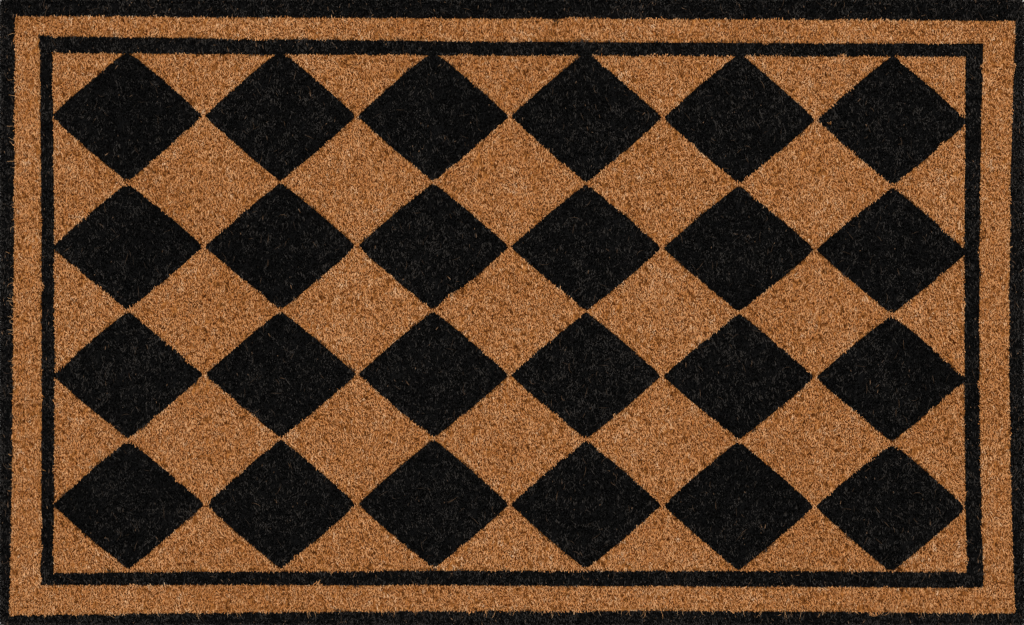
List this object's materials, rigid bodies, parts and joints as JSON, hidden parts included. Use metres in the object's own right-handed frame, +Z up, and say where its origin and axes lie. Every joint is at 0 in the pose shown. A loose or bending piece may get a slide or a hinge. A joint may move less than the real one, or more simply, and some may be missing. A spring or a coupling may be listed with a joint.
{
  "type": "door mat",
  "caption": "Rectangular coconut-fibre door mat with a vinyl backing; black diamonds, frame line and outer border in a natural cut pile.",
  "frame": {"origin": "centre of the underside, on the floor", "axes": "+X along the mat's long side, +Y to its back edge, +Z up out of the pile"},
  "size_m": [0.75, 0.458, 0.016],
  "materials": {
    "vinyl": "matte",
    "natural_coir": "matte",
    "black_coir": "matte"
  },
  "bodies": {
    "root": {"vinyl_backing": "vinyl", "natural_field_pile": "natural_coir", "natural_border_pile": "natural_coir", "black_outer_border_pile": "black_coir", "black_frame_line_pile": "black_coir", "black_diamond_r1_c1": "black_coir", "black_diamond_r1_c2": "black_coir", "black_diamond_r1_c3": "black_coir", "black_diamond_r1_c4": "black_coir", "black_diamond_r1_c5": "black_coir", "black_diamond_r1_c6": "black_coir", "black_diamond_r2_c1": "black_coir", "black_diamond_r2_c2": "black_coir", "black_diamond_r2_c3": "black_coir", "black_diamond_r2_c4": "black_coir", "black_diamond_r2_c5": "black_coir", "black_diamond_r2_c6": "black_coir", "black_diamond_r3_c1": "black_coir", "black_diamond_r3_c2": "black_coir", "black_diamond_r3_c3": "black_coir", "black_diamond_r3_c4": "black_coir", "black_diamond_r3_c5": "black_coir", "black_diamond_r3_c6": "black_coir", "black_diamond_r4_c1": "black_coir", "black_diamond_r4_c2": "black_coir", "black_diamond_r4_c3": "black_coir", "black_diamond_r4_c4": "black_coir", "black_diamond_r4_c5": "black_coir", "black_diamond_r4_c6": "black_coir"}
  },
  "joints": []
}
